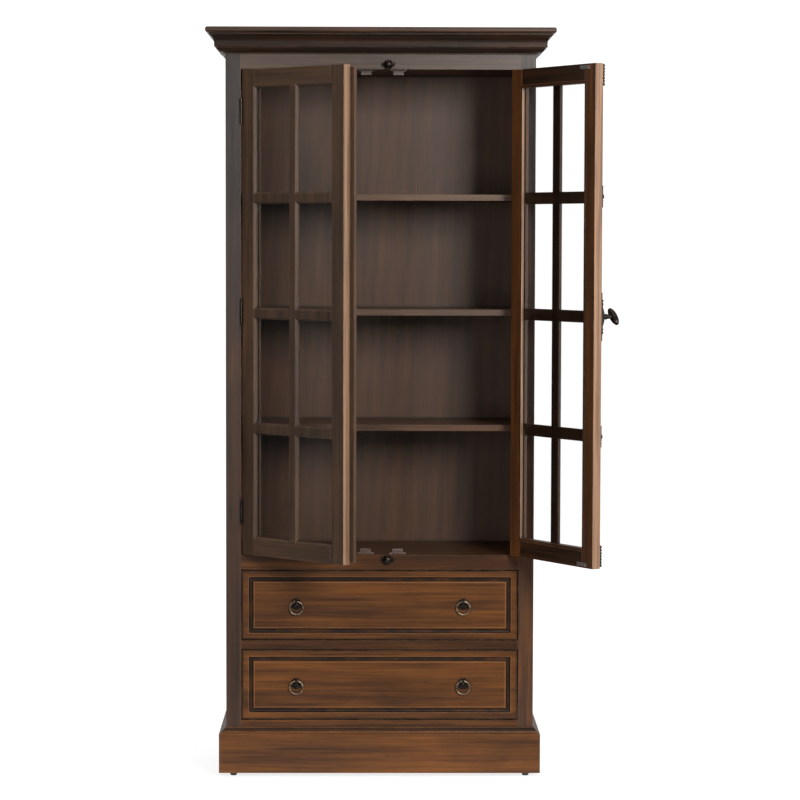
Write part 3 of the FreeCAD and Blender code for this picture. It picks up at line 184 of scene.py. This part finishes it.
def wood(name, grain, seed, turn=0.0, tone=0.0, warmth=0.0, figure=0.25, worn=1.0, worn_and_lit_ends=0.0,
         rough=0.38, coat=0.05, contrast=0.85, edging=None, bands=(), gleam=0.4, top_sheen=0.0):
    """Stained and glazed solid wood, with painted shade darkening its corners and recesses.

    tone lightens or darkens it, and warmth turns grey brown to orange brown. figure is the strength of the
    broad arched grain, and contrast how far the grain stands out. worn is how far the glaze has rubbed off the
    edges, and bare how far the faces at the two ends of the piece's own X are lightened, as stain worn away and
    as a painted highlight. edging is the box of a moulded front that gets painted shade and highlight lines, and
    bands the heights, in millimetres, between which coves are darkened with painted shade, and how strongly.
    gleam is the specular level, and cool how far a painted grey sheen covers the stain towards the top of
    the cabinet."""
    s = Shader(name)
    place = s.add("TexCoord").outputs["Object"]
    upright = s.add("Mapping", Vector=place, Rotation=(0, 0, -turn)).outputs[0]
    grain_line = s.add("Mapping", Vector=upright, Rotation=GRAIN_TURN[grain],
                       Location=(3.17 * seed, 1.31 * seed, 2.73 * seed)).outputs[0]
    wander = s.noise(grain_line, (1.6, 9, 9), detail=2.0)
    broad = s.noise(grain_line, (1.5, 34, 34), detail=4.0, roughness=0.55, distortion=0.25)
    streak = s.noise(grain_line, (2.6, 115, 115), detail=5.0, roughness=0.6, distortion=0.2)
    fine = s.noise(grain_line, (7, 360, 360), detail=4.0, roughness=0.6)
    pore = s.noise(grain_line, (26, 1150, 1150), detail=2.0, roughness=0.5)
    blotch = s.noise(grain_line, (3.0, 8, 8), detail=3.0, roughness=0.55, distortion=0.6)
    arched = s.add("Mapping", Vector=grain_line, Scale=(0.55, 7.5, 7.5)).outputs[0]
    rings = s.add("TexWave", {"wave_type": "BANDS", "bands_direction": "DIAGONAL"}, Vector=arched, Scale=1.9,
                  Distortion=7.0, Detail=2.0, Detail_Scale=0.8, Detail_Roughness=0.45).outputs[1]

    depth = s.math("MULTIPLY_ADD", streak, 0.40, s.math("MULTIPLY", fine, 0.30))
    depth = s.math("MULTIPLY_ADD", broad, 0.34, depth)
    depth = s.math("MULTIPLY_ADD", rings, 0.10 * figure, depth)
    depth = s.math("MULTIPLY_ADD", blotch, 0.30, depth)
    depth = s.math("ADD", depth, -0.67 - 0.05 * figure)
    depth = s.math("MULTIPLY_ADD", depth, contrast, 0.5 + tone)
    deep = tuple(g * (1 - 0.25 * warmth) for g in GLAZE_AND_SHADE)
    greyed = max(0.0, -warmth)
    light = tuple(h * (1 - greyed) + g * greyed for h, g in zip(HONEY, GREYED_GRAIN))
    middle = tuple(w * (1 - greyed) + g * greyed for w, g in zip(WALNUT, GREYED_STAIN))
    stain = s.ramp(depth, [(0.30, deep), (0.50, middle), (0.74, light)])
    stain = s.mix(s.spread(pore, 0.56, 0.72, 0.0, 0.45), stain, (*GLAZE_AND_SHADE, 1))
    stain = s.mix(s.spread(wander, 0.56, 0.74, 0.0, 0.40), stain, (*deep, 1))
    # Painted shade and highlight lines on a moulded front.
    if edging:
        stain = moulded_edge(s, place, stain, *edging)
    # Painted shade darkening the coves between the given heights.
    if bands:
        apart = s.add("SeparateXYZ")
        s.feed(apart, "0", place)
        for low, high, strength in bands:
            rise = s.spread(apart.outputs[2], (low - 1.5) * MM, (low + 1.5) * MM)
            fall = s.spread(apart.outputs[2], (high - 1.5) * MM, (high + 1.5) * MM, 1.0, 0.0)
            uneven = s.spread(broad, 0.3, 0.6, strength, 0.7 * strength)
            cove_shade = s.math("MULTIPLY", s.math("MULTIPLY", rise, fall), uneven)
            stain = s.mix(cove_shade, stain, (*GLAZE_AND_SHADE, 1))
    # Painted sheen: the stain turns to a lighter grey towards the top of the cabinet.
    if top_sheen:
        height = s.add("SeparateXYZ")
        s.feed(height, "0", place)
        grey = s.math("MULTIPLY", s.add("RGBToBW", Color=stain).outputs[0], 1.25)
        stain = s.mix(s.spread(height.outputs[2], 0.95, 1.9, 0.0, top_sheen), stain, grey)

    turned, soft = s.edge(1.6 * MM)
    patchy = s.noise(place, (38, 38, 38), detail=4.0, roughness=0.6)
    rub = s.math("MULTIPLY", s.spread(turned, 0.03, 0.26), s.spread(patchy, 0.34, 0.60, 0.15, 0.9 * worn))
    stain = s.mix(rub, stain, (*WORN_AND_LIT, 1))
    # The end faces lightened: worn stain, and a painted highlight on the doors' lit leading edges.
    if worn_and_lit_ends:
        across = s.add("VectorMath", {"operation": "DOT_PRODUCT"})
        s.feed(across, "0", s.add("TexCoord").outputs["Normal"])
        s.feed(across, "1", (math.cos(turn), math.sin(turn), 0.0))
        ends = s.spread(s.math("ABSOLUTE", across.outputs["Value"]), 0.80, 0.97)
        lightened_ends = s.math("MULTIPLY", ends, s.spread(streak, 0.35, 0.6, 0.4 * worn_and_lit_ends, worn_and_lit_ends))
        stain = s.mix(lightened_ends, stain, (*WORN_AND_LIT, 1))
    # Painted shade: the glaze colour darkens the corners and recesses that the occlusion finds.
    corner_shade = s.add("AmbientOcclusion", {"samples": 6, "only_local": False}, Distance=11 * MM).outputs["AO"]
    stain = s.mix(s.spread(corner_shade, 0.35, 0.95, 0.72, 0.0), stain, (*GLAZE_AND_SHADE, 1))

    gloss = s.math("MULTIPLY_ADD", fine, 0.22, rough - 0.08)
    height = s.math("MULTIPLY_ADD", pore, -0.6, s.math("MULTIPLY", fine, 0.8))
    bump = s.add("Bump", Strength=0.32, Distance=0.4 * MM, Height=height, Normal=soft).outputs[0]
    shader = s.add("BsdfPrincipled", Base_Color=stain, Roughness=gloss, Normal=bump, IOR=1.5)
    shader.inputs["Specular IOR Level"].default_value = gleam
    shader.inputs["Coat Weight"].default_value = coat
    shader.inputs["Coat Roughness"].default_value = 0.30
    shader.inputs["Coat IOR"].default_value = 1.45
    return s.finish(shader.outputs[0])


def raw_wood(name, grain, seed, colour=(0.36, 0.22, 0.12)):
    """Plain lacquered wood of the drawer boxes and their runners."""
    s = Shader(name)
    place = s.add("TexCoord").outputs["Object"]
    line = s.add("Mapping", Vector=place, Rotation=GRAIN_TURN[grain],
                 Location=(2.11 * seed, 1.7 * seed, 0.9 * seed)).outputs[0]
    streak = s.noise(line, (1.8, 38, 38), detail=6.0, roughness=0.6, distortion=0.3)
    fine = s.noise(line, (8, 420, 420), detail=3.0)
    depth = s.math("MULTIPLY_ADD", streak, 0.7, s.math("MULTIPLY", fine, 0.3))
    dark = tuple(0.45 * c for c in colour)
    light = tuple(min(1.0, 1.25 * c) for c in colour)
    stain = s.ramp(depth, [(0.34, dark), (0.52, colour), (0.72, light)])
    turned, soft = s.edge(1.0 * MM)
    gloss = s.math("MULTIPLY_ADD", fine, 0.2, 0.42)
    bump = s.add("Bump", Strength=0.25, Distance=0.3 * MM, Height=fine, Normal=soft).outputs[0]
    shader = s.add("BsdfPrincipled", Base_Color=stain, Roughness=gloss, Normal=bump, IOR=1.48)
    return s.finish(shader.outputs[0])


def bronze(name, rubbed=1.0, bright=(0.36, 0.31, 0.27), body=(1.0, 1.0, 1.0)):
    """Oil-rubbed bronze: nearly black, mottled with brown, bright where hands and edges have rubbed it.
    body scales its dark colours, which turns it towards brass."""
    s = Shader(name)
    place = s.add("TexCoord").outputs["Object"]
    mottle = s.noise(place, (160, 160, 160), detail=5.0, roughness=0.62)
    grit = s.noise(place, (900, 900, 900), detail=2.0)
    shades = ((0.30, (0.016, 0.012, 0.010)), (0.55, (0.040, 0.031, 0.026)), (0.78, (0.085, 0.064, 0.050)))
    base = s.ramp(mottle, [(at, tuple(c * k for c, k in zip(colour, body))) for at, colour in shades])
    turned, soft = s.edge(0.9 * MM)
    edges = s.spread(turned, 0.02, 0.35, 0.0, 0.75 * rubbed)
    rub = s.math("MULTIPLY", edges, s.spread(mottle, 0.32, 0.6, 0.3, 1.0))
    base = s.mix(rub, base, (*bright, 1))
    gloss = s.spread(mottle, 0.3, 0.75, 0.22, 0.42)
    bump = s.add("Bump", Strength=0.22, Distance=0.25 * MM, Height=grit, Normal=soft).outputs[0]
    shader = s.add("BsdfPrincipled", Base_Color=base, Roughness=gloss, Normal=bump, Metallic=0.92)
    return s.finish(shader.outputs[0])


def zinc(name):
    """Bright zinc-plated steel with a fine drawn texture."""
    s = Shader(name)
    place = s.add("TexCoord").outputs["Object"]
    drawn = s.noise(place, (60, 60, 1800), detail=3.0)
    cloud = s.noise(place, (140, 140, 140), detail=3.0)
    base = s.ramp(cloud, [(0.3, (0.42, 0.40, 0.38)), (0.7, (0.66, 0.64, 0.61))])
    gloss = s.spread(drawn, 0.3, 0.7, 0.26, 0.42)
    bump = s.add("Bump", Strength=0.12, Distance=0.1 * MM, Height=drawn).outputs[0]
    shader = s.add("BsdfPrincipled", Base_Color=base, Roughness=gloss, Normal=bump, Metallic=1.0)
    return s.finish(shader.outputs[0])


def plastic(name, colour, rough, rim):
    """Moulded plastic with a faint grain, and a painted highlight along its edges."""
    s = Shader(name)
    place = s.add("TexCoord").outputs["Object"]
    cloud = s.noise(place, (90, 90, 90), detail=3.0)
    grain = s.noise(place, (1400, 1400, 1400), detail=2.0)
    darker = tuple(0.8 * c for c in colour)
    base = s.ramp(cloud, [(0.3, darker), (0.7, colour)])
    turned, soft = s.edge(1.6 * MM)
    # Painted highlight: the rim colour lightens the plastic along its edges.
    base = s.mix(s.spread(turned, 0.02, 0.2), base, (*rim, 1))
    gloss = s.math("MULTIPLY_ADD", grain, 0.12, rough)
    bump = s.add("Bump", Strength=0.15, Distance=0.1 * MM, Height=grain, Normal=soft).outputs[0]
    shader = s.add("BsdfPrincipled", Base_Color=base, Roughness=gloss, Normal=bump)
    return s.finish(shader.outputs[0])


def glass(name):
    """Clear sheet glass: light passes straight through, and more of it is reflected at a glancing angle."""
    s = Shader(name)
    place = s.add("TexCoord").outputs["Object"]
    smear = s.noise(place, (6, 6, 6), detail=3.0)
    clear = s.ramp(smear, [(0.3, (0.985, 0.990, 0.987)), (0.7, (0.995, 0.997, 0.995))])
    through = s.add("BsdfTransparent", Color=clear)
    gloss = s.spread(smear, 0.3, 0.7, 0.01, 0.03)
    mirror = s.add("BsdfAnisotropic", {"distribution": "MULTI_GGX"}, Color=(1, 1, 1, 1), Roughness=gloss)
    glance = s.add("LayerWeight", Blend=0.5).outputs["Facing"]
    mirrored = s.math("MULTIPLY_ADD", s.math("POWER", glance, 5.0), 0.97, 0.03)
    both = s.add("MixShader", Fac=mirrored)
    s.feed(both, "1", through.outputs[0])
    s.feed(both, "2", mirror.outputs[0])
    return s.finish(both.outputs[0])


# ---------------------------------------------------------------- materials on the CAD nodes

def paint(node, material):
    mesh = NODES[node].data
    mesh.materials.clear()
    mesh.materials.append(material)


SHADED_COVES = {                          # node: the heights between which a cove is darkened with painted shade, and how strongly
    "plinth_front": ((122, 131, 0.92),),
    "plinth_returns": ((122, 131, 0.92),),
    "cornice_front": ((1962, 1980, 0.70), (1936, 1945, 0.75)),
    "cornice_returns": ((1962, 1980, 0.70), (1936, 1945, 0.75)),
}
CASE_WOOD = {                       # node: grain, tone, warmth, figure
    "left_side_panel": ("z", -0.02, 0.2, 0.8),
    "right_side_panel": ("z", -0.02, 0.2, 0.8),
    "back_panel": ("z", 0.02, -0.3, 1.2),
    "top_slab": ("x", -0.07, 0.4, 0.3),
    "ceiling_board": ("x", -0.04, 0.1, 0.4),
    "deck_board": ("x", 0.0, 0.1, 0.4),
    "bottom_board": ("x", 0.0, 0.1, 0.4),
    "cornice_front": ("x", -0.10, 0.6, 0.1),
    "cornice_returns": ("y", -0.10, 0.6, 0.1),
    "plinth_front": ("x", 0.085, 0.7, 0.2),
    "plinth_returns": ("y", 0.08, 0.7, 0.2),
    "left_face_stile": ("z", -0.055, 0.5, 0.2),
    "right_face_stile": ("z", 0.01, 0.2, 0.2),
    # The top rail's stain is greyed as a painted sheen.
    "top_rail": ("x", 0.0, -0.9, 0.2),
    "mid_rail": ("x", 0.0, 0.2, 0.2),
    "drawer_rails": ("x", 0.0, 0.3, 0.2),
    "upper_shelf": ("x", 0.055, -0.8, 0.3),
    "middle_shelf": ("x", 0.05, -0.7, 0.3),
    "lower_shelf": ("x", 0.04, -0.2, 0.3),
    "upper_drawer_front": ("x", 0.072, 0.9, 0.3),
    "lower_drawer_front": ("x", 0.085, 0.9, 0.3),
}
for seed, (node, (grain, tone, warmth, figure)) in enumerate(CASE_WOOD.items(), 1):
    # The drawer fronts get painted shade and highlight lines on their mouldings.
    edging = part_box(node) if node.endswith("drawer_front") else None
    coat = 0.45 if node == "top_rail" else 0.05
    contrast = 0.24 if node == "back_panel" else 0.85
    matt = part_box(node)[1].z < 0.6 or node.startswith("cornice")
    # The face stiles get a painted grey sheen towards the top of the cabinet.
    top_sheen = 0.7 if node.endswith("face_stile") else 0.0
    paint(node, wood("wood_" + node, grain, seed, tone=tone, warmth=warmth, figure=figure,
                     coat=0.0 if matt else coat, contrast=contrast, edging=edging,
                     bands=SHADED_COVES.get(node, ()), gleam=0.2 if matt else 0.4, top_sheen=top_sheen))

DOOR_WOOD = {                       # part of the node's name: grain, tone
    "hinge_stile": ("z", 0.0),
    "meeting_stile": ("z", 0.02),
    "rails": ("x", 0.0),
    "muntins": ("z", 0.0),
    "beads": ("z", -0.02),
}
# The left door's stain is greyed as a painted sheen; the right door's stays warm.
for side, warmth, seed in (("left", -0.8, 31.0), ("right", 0.6, 47.0)):
    body = side + "_door"
    for step, (part, (grain, tone)) in enumerate(DOOR_WOOD.items()):
        node = f"{body}_{part}"
        # The meeting stiles and the right door's beads get lightened ends: worn stain and a painted highlight.
        worn_and_lit_ends = {"meeting_stile": 0.8, "beads": 0.9 if side == "right" else 0.0}.get(part, 0.0)
        # Painted light: the right door's hinge stile is lightened where it is lit, and its rails are darker.
        if side == "right":
            tone += {"rails": -0.10, "hinge_stile": 0.09}.get(part, 0.0)
        else:
            tone += {"rails": 0.03, "hinge_stile": 0.06}.get(part, 0.01)
        paint(node, wood("wood_" + node, grain, seed + step, DOOR_TURN[body], tone, warmth, worn_and_lit_ends=worn_and_lit_ends))
# The astragal is greyed with the left door as a painted sheen.
lath = wood("wood_astragal", "z", 61, turn=DOOR_TURN["left_door"], tone=0.02, warmth=-0.7)
paint("left_door_astragal", lath)

DRAWER_WOOD = {"upper_drawer_walls": "y", "upper_drawer_bottom": "x", "lower_drawer_walls": "y",
               "lower_drawer_bottom": "x", "drawer_runners": "y"}
for seed, (node, grain) in enumerate(DRAWER_WOOD.items(), 71):
    paint(node, raw_wood("raw_" + node, grain, seed))

clear_glass = glass("sheet_glass")
dark_bronze = bronze("oil_rubbed_bronze")
black_bronze = bronze("black_bronze", rubbed=0.35)
rubbed_brass = bronze("rubbed_brass", bright=(0.75, 0.62, 0.45), body=(6.5, 6.2, 5.0))
plated = zinc("zinc_plate")
for body in ("left_door", "right_door"):
    paint(body + "_glass", clear_glass)
    paint(body + "_hinge_leaves", black_bronze)
    paint(body + "_strikes", plated)
for node in ("bolt_case", "bolt_guides", "bolt_knob", "bolt_pinion", "upper_bolt_rod", "lower_bolt_rod",
             "bolt_keepers", "upper_drawer_pull_rosettes", "lower_drawer_pull_rosettes"):
    paint(node, dark_bronze)
for tier in ("upper", "lower"):
    for side in ("left", "right"):
        paint(f"{tier}_drawer_{side}_pull_ring", rubbed_brass)
paint("cabinet_hinge_leaves", black_bronze)
paint("shelf_pins", plated)
paint("magnetic_catches", plastic("catch_plastic", (0.105, 0.066, 0.050), 0.32, (0.62, 0.50, 0.46)))
paint("foot_glides", plastic("glide_plastic", (0.020, 0.018, 0.017), 0.45, (0.06, 0.055, 0.05)))


# ---------------------------------------------------------------- small turned and pressed pieces

def lathe(name, profile, steps=28, dent=None):
    """A mesh turned about its own Z from (radius, height) points in millimetres. dent gives the depth by which
    a point at (x, y) is lowered."""
    mesh = bpy.data.meshes.new(name)
    b = bmesh.new()
    rings = []
    for radius, height in profile:
        ring = []
        for step in range(steps if radius else 1):
            turn = 2 * math.pi * step / steps
            x, y = radius * math.cos(turn), radius * math.sin(turn)
            ring.append(b.verts.new((x * MM, y * MM, (height - (dent(x, y) if dent else 0)) * MM)))
        rings.append(ring)
    for near, far in zip(rings, rings[1:]):
        for i in range(steps):
            after = i + 1
            corners = (near[i % len(near)], near[after % len(near)], far[after % len(far)], far[i % len(far)])
            corners = list(dict.fromkeys(corners))
            if len(corners) > 2:
                b.faces.new(corners)
    bmesh.ops.recalc_face_normals(b, faces=b.faces)
    for face in b.faces:
        face.smooth = True
    b.to_mesh(mesh)
    b.free()
    return mesh


def cross_recess(size, depth):
    """The recess that a cross-head driver fits, for a head of that radius."""
    arm, half = 0.62 * size, 0.16 * size

    def dent(x, y):
        inside = max(min(abs(x), abs(y)) / half, max(abs(x), abs(y)) / arm)
        return depth * max(0.0, min(1.0, (1.25 - inside) / 0.35))

    return dent


def screw_head(name, radius, rise, recess):
    """A cross-head screw's head: a low dome with a driven recess, sunk a little way into what it holds."""
    rings = 14
    profile = [(0, rise)]
    profile += [(radius * k / rings, rise * (1 - (k / rings) ** 2.4)) for k in range(1, rings + 1)]
    profile += [(radius, -0.3)]
    return lathe(name, profile, steps=40, dent=cross_recess(radius, recess))


def bead_ring(name, radius, bead, count):
    """A ring of small half-round beads, as pressed round a rosette."""
    mesh = bpy.data.meshes.new(name)
    b = bmesh.new()
    for i in range(count):
        turn = 2 * math.pi * i / count
        place = Matrix.Translation((radius * MM * math.cos(turn), radius * MM * math.sin(turn), 0))
        bmesh.ops.create_uvsphere(b, u_segments=12, v_segments=8, radius=bead * MM, matrix=place)
    for face in b.faces:
        face.smooth = True
    b.to_mesh(mesh)
    b.free()
    return mesh


def put(name, mesh, place, facing, body, material, spin=0.0):
    """Stand a mesh at a place with its Z along facing, and let it ride on that body."""
    if not mesh.materials:
        mesh.materials.append(material)
    piece = bpy.data.objects.new(name, mesh)
    turn = Vector(facing).to_track_quat("Z", "Y").to_matrix().to_4x4() @ Matrix.Rotation(spin, 4, "Z")
    piece.matrix_world = Matrix.Translation(place) @ turn
    bpy.context.scene.collection.objects.link(piece)
    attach(piece, body)
    return piece


def islands(node, turn=0.0):
    """The box of each loose part of a node, as (low, high), seen in axes turned about Z."""
    mesh = NODES[node].data
    leader = {}

    def find(key):
        while leader.setdefault(key, key) != key:
            leader[key] = leader[leader[key]]
            key = leader[key]
        return key

    places = [tuple(round(c, 5) for c in vertex.co) for vertex in mesh.vertices]
    for edge in mesh.edges:
        leader[find(places[edge.vertices[0]])] = find(places[edge.vertices[1]])
    back = Matrix.Rotation(-turn, 3, "Z")
    boxes = {}
    for place, vertex in zip(places, mesh.vertices):
        point = back @ vertex.co
        low, high = boxes.setdefault(find(place), (point.copy(), point.copy()))
        for axis in range(3):
            low[axis], high[axis] = min(low[axis], point[axis]), max(high[axis], point[axis])
    return sorted(boxes.values(), key=lambda box: (round(box[0].z, 4), round(box[0].x, 4)))


# Screws: the heads are the same for every piece of one kind of hardware.
plate_screw = screw_head("plate_screw", 3.1, 0.25, 0.45)
small_screw = screw_head("small_screw", 2.3, 0.8, 0.6)
leaf_screw = screw_head("leaf_screw", 2.7, 0.12, 0.4)
nail_head = lathe("nail_head", [(0, 0.08), (1.5, 0.08), (2.1, 0.03), (2.2, -0.3)], steps=20)

for body in ("left_door", "right_door"):
    turn = DOOR_TURN[body]
    out = Matrix.Rotation(turn, 3, "Z")
    for number, (low, high) in enumerate(islands(body + "_strikes", turn)):
        for end, share in enumerate((0.18, 0.82)):
            spot = out @ Vector((low.x + share * (high.x - low.x), high.y, (low.z + high.z) / 2))
            put(f"{body}_strike_screw_{number}{end}", plate_screw, spot, out @ Vector((0, 1, 0)), body,
                plated, spin=0.4 + number + 0.7 * end)

for number, (low, high) in enumerate(islands("bolt_keepers")):
    middle = (low.z + high.z) / 2
    for end, x in enumerate((low.x + 3.4 * MM, high.x - 3.4 * MM)):
        spot = Vector((x, high.y - 2.2 * MM, middle))
        put(f"keeper_screw_{number}{end}", small_screw, spot, (0, -1, 0), "cabinet",
            dark_bronze, spin=0.5 + number + end)

for number, (low, high) in enumerate(islands("magnetic_catches")):
    above = high.z > 1.5
    for end, x in enumerate((low.x + 3.8 * MM, high.x - 3.8 * MM)):
        level = high.z - 3.0 * MM if above else low.z + 3.0 * MM
        put(f"catch_screw_{number}{end}", small_screw, Vector((x, (low.y + high.y) / 2, level)),
            (0, 0, -1) if above else (0, 0, 1), "cabinet", plated, spin=number + end)

# Hinge leaves: three countersunk heads on each, on the face that the open door bares.
HINGE_LEVELS = sorted({round((low.z + high.z) / 2, 4) for low, high in islands("left_door_hinge_leaves")})
for body, side in (("left_door", -1), ("right_door", 1)):
    axis = Vector(JOINTS[body + "_hinge"]["pos_m"])
    out = Matrix.Rotation(DOOR_TURN[body], 3, "Z")
    for number, level in enumerate(HINGE_LEVELS):
        for step, rise in enumerate((-24, 0, 24)):
            z = level + rise * MM
            depth = (14 if step != 1 else 10) * MM
            spot = Vector((axis.x + side * 0.2 * MM, axis.y + depth, z))
            put(f"{body}_frame_leaf_screw_{number}{step}", leaf_screw, spot, (-side, 0, 0), "cabinet",
                black_bronze, spin=number + step)
            swung = out @ Vector((-side * 0.2 * MM, depth, 0))
            spot = Vector((axis.x + swung.x, axis.y + swung.y, z))
            put(f"{body}_door_leaf_screw_{number}{step}", leaf_screw, spot, out @ Vector((side, 0, 0)), body,
                black_bronze, spin=number + 2 * step)

# Rosettes: a pressed ring of beads round each pull.
rosette_beads = bead_ring("rosette_beads", 12.6, 0.95, 26)
for tier in ("upper_drawer", "lower_drawer"):
    for number, (low, high) in enumerate(islands(tier + "_pull_rosettes")):
        spot = Vector(((low.x + high.x) / 2, high.y - 2.3 * MM, low.z + 15 * MM))
        put(f"{tier}_rosette_beads_{number}", rosette_beads, spot, (0, -1, 0), tier,
            dark_bronze)

# Knob: a turned collar on its stem.
knob_axis = Vector(JOINTS["bolt_knob_turn"]["pos_m"])
outward = Matrix.Rotation(DOOR_TURN["right_door"], 3, "Z") @ Vector((0, -1, 0))
case_face = max(outward.dot(v.co) for v in NODES["bolt_case"].data.vertices)
COLLAR = ((5.4, 0.0), (7.2, 0.3), (7.9, 1.2), (7.4, 2.2), (6.2, 2.8), (6.6, 3.4), (6.4, 4.2), (5.2, 4.8))
collar = lathe("knob_collar", COLLAR, steps=36)
seat = knob_axis + outward * (case_face - outward.dot(knob_axis) + 0.8 * MM)
put("knob_collar", collar, seat, outward, "bolt_knob", dark_bronze)

# The back: pins all round the panel's edge.
PIN_INSET = 9 * MM
UPRIGHT_PINS, ACROSS_PINS = 13, 6
low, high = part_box("back_panel")
run_x, run_z = high.x - low.x, high.z - low.z
edge_spots = []
for x in (low.x + PIN_INSET, high.x - PIN_INSET):
    edge_spots += [(x, low.z + run_z * (k + 0.5) / UPRIGHT_PINS) for k in range(UPRIGHT_PINS)]
for k in range(ACROSS_PINS):
    x = low.x + run_x * (k + 0.5) / ACROSS_PINS
    edge_spots += [(x, low.z + PIN_INSET), (x, high.z - PIN_INSET)]
for number, (x, z) in enumerate(edge_spots):
    put(f"back_pin_{number}", nail_head, Vector((x, high.y, z)), (0, 1, 0), "cabinet",
        plated)


# ---------------------------------------------------------------- floor, light and camera

SEEN_WHITE = 1.12                   # bright enough to stay pure white behind the glass

def disc(name, radius, height, material):
    mesh = bpy.data.meshes.new(name)
    b = bmesh.new()
    bmesh.ops.create_circle(b, cap_ends=True, radius=radius, segments=96)
    b.to_mesh(mesh)
    b.free()
    mesh.materials.append(material)
    piece = bpy.data.objects.new(name, mesh)
    piece.location.z = height
    bpy.context.scene.collection.objects.link(piece)
    return piece


def floor():
    """A pale floor round the object, which fades into a plain white sheet that only the camera sees."""
    s = Shader("pale_floor")
    place = s.add("TexCoord").outputs["Object"]
    away = s.add("VectorMath", {"operation": "LENGTH"})
    s.feed(away, "0", place)
    grit = s.noise(place, (9, 9, 9), detail=4.0)
    tint = s.ramp(grit, [(0.3, (0.36, 0.36, 0.36)), (0.7, (0.40, 0.40, 0.40))])
    pale = s.add("BsdfPrincipled", Base_Color=tint, Roughness=0.7)
    pale.inputs["Emission Color"].default_value = (1, 1, 1, 1)
    pale.inputs["Emission Strength"].default_value = 0.80
    none = s.add("BsdfTransparent", Color=(1, 1, 1, 1))
    both = s.add("MixShader", Fac=s.spread(away.outputs["Value"], 0.55, 1.15))
    s.feed(both, "1", pale.outputs[0])
    s.feed(both, "2", none.outputs[0])
    disc("floor", 1.3, 0.0, s.finish(both.outputs[0]))

    w = Shader("white_surround")
    cloud = w.noise(w.add("TexCoord").outputs["Object"], (0.2, 0.2, 0.2))
    white = w.ramp(cloud, [(0.3, (1.0, 1.0, 1.0)), (0.7, (0.995, 0.995, 0.995))])
    bright = w.add("Emission", Color=white, Strength=SEEN_WHITE)
    sheet = disc("floor_surround", 40.0, -0.002, w.finish(bright.outputs[0]))
    sheet.visible_diffuse = False
    sheet.visible_glossy = False
    sheet.visible_shadow = False


def area_light(name, place, target, size, power, colour=(1, 1, 1)):
    data = bpy.data.lights.new(name, "AREA")
    data.shape = "RECTANGLE"
    data.size, data.size_y = size
    data.energy = power
    data.color = colour
    light = bpy.data.objects.new(name, data)
    light.location = place
    light.rotation_euler = (Vector(target) - Vector(place)).to_track_quat("-Z", "Y").to_euler()
    light.visible_camera = False
    bpy.context.scene.collection.objects.link(light)


def surround(front, behind):
    """White to the eye all round. It lights the object from behind as a white wall does, and faintly in front."""
    world = bpy.data.worlds.new("studio")
    bpy.context.scene.world = world
    world.use_nodes = True
    nodes, links = world.node_tree.nodes, world.node_tree.links
    nodes.clear()
    towards = nodes.new("ShaderNodeTexCoord")
    apart = nodes.new("ShaderNodeSeparateXYZ")
    links.new(towards.outputs["Generated"], apart.inputs[0])
    level = nodes.new("ShaderNodeMapRange")
    level.interpolation_type = "SMOOTHSTEP"
    for i, number in enumerate((0.0, 0.55, front, behind), 1):
        level.inputs[i].default_value = number
    links.new(apart.outputs["Y"], level.inputs["Value"])
    fill = nodes.new("ShaderNodeBackground")
    links.new(level.outputs[0], fill.inputs["Strength"])
    seen = nodes.new("ShaderNodeBackground")
    seen.inputs["Strength"].default_value = SEEN_WHITE
    seen.inputs["Color"].default_value = fill.inputs["Color"].default_value = (1, 1, 1, 1)
    path = nodes.new("ShaderNodeLightPath")
    mix = nodes.new("ShaderNodeMixShader")
    out = nodes.new("ShaderNodeOutputWorld")
    links.new(path.outputs["Is Camera Ray"], mix.inputs[0])
    links.new(fill.outputs[0], mix.inputs[1])
    links.new(seen.outputs[0], mix.inputs[2])
    links.new(mix.outputs[0], out.inputs["Surface"])


def camera():
    data = bpy.data.cameras.new("camera")
    data.lens = 123.2
    data.sensor_width = 36.0
    data.clip_end = 200.0
    piece = bpy.data.objects.new("camera", data)
    yaw, pitch, roll = math.radians(0.65), math.radians(3.41), math.radians(0.14)
    level = Matrix.Rotation(-yaw, 3, "Z") @ Matrix.Rotation(math.pi / 2 - pitch, 3, "X")
    piece.rotation_euler = (level @ Matrix.Rotation(roll, 3, "Z")).to_euler()
    piece.location = (-0.030, -7.474, 1.448)
    bpy.context.scene.collection.objects.link(piece)
    bpy.context.scene.camera = piece


floor()
surround(0.06, 0.75)
area_light("key", (1.9, -4.4, 2.5), (0.0, 0.0, 1.2), (1.3, 1.6), 185.0, (1.0, 0.985, 0.96))
area_light("left_fill", (-1.9, -5.2, 1.2), (0.0, 0.0, 1.0), (1.6, 2.6), 60.0, (1.0, 0.985, 0.965))
area_light("right_side", (3.4, -1.0, 1.5), (0.4, -0.3, 1.2), (1.4, 2.6), 38.0)
area_light("top", (0.0, -1.2, 4.6), (0.0, -0.3, 0.0), (4.0, 3.0), 50.0)
camera()
bpy.context.scene.view_settings.view_transform = "Standard"
